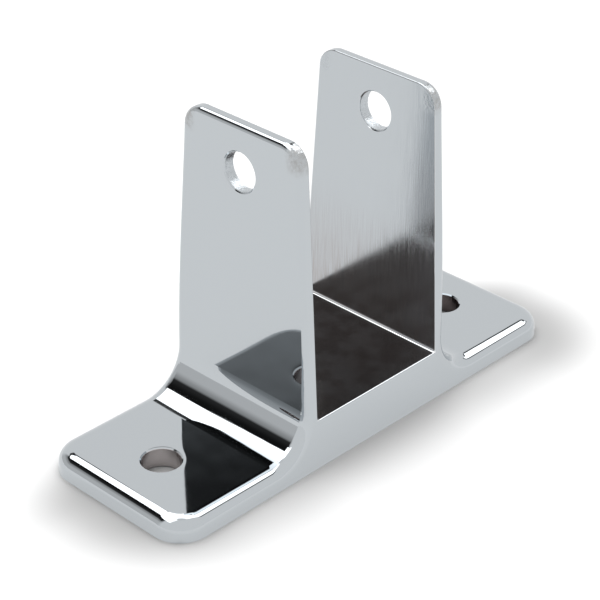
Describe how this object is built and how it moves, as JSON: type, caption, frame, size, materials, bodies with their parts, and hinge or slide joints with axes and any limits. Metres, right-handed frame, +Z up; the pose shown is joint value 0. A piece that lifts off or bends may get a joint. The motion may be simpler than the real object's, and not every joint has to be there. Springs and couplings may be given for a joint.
{
  "type": "panel wall bracket",
  "caption": "Die-cast wall bracket: upright drafted ears take a panel edge between them, with a cross bolt through both, on a flat base whose feet are drilled for screws; bright chrome plated",
  "frame": {"origin": "middle of the flat underside, halfway between the screw holes", "axes": "+X runs along the base from foot to foot and is square to the ears' faces, +Y runs across the base and +Z points up from the wall or floor that the base is screwed to, along the ears"},
  "size_m": [0.0998, 0.0348, 0.062],
  "materials": {
    "chrome_plate": "bright chrome plating on a zinc casting, polished outside, satin grain inside the slot"
  },
  "bodies": {
    "root": {"bracket": "chrome_plate"}
  },
  "joints": []
}
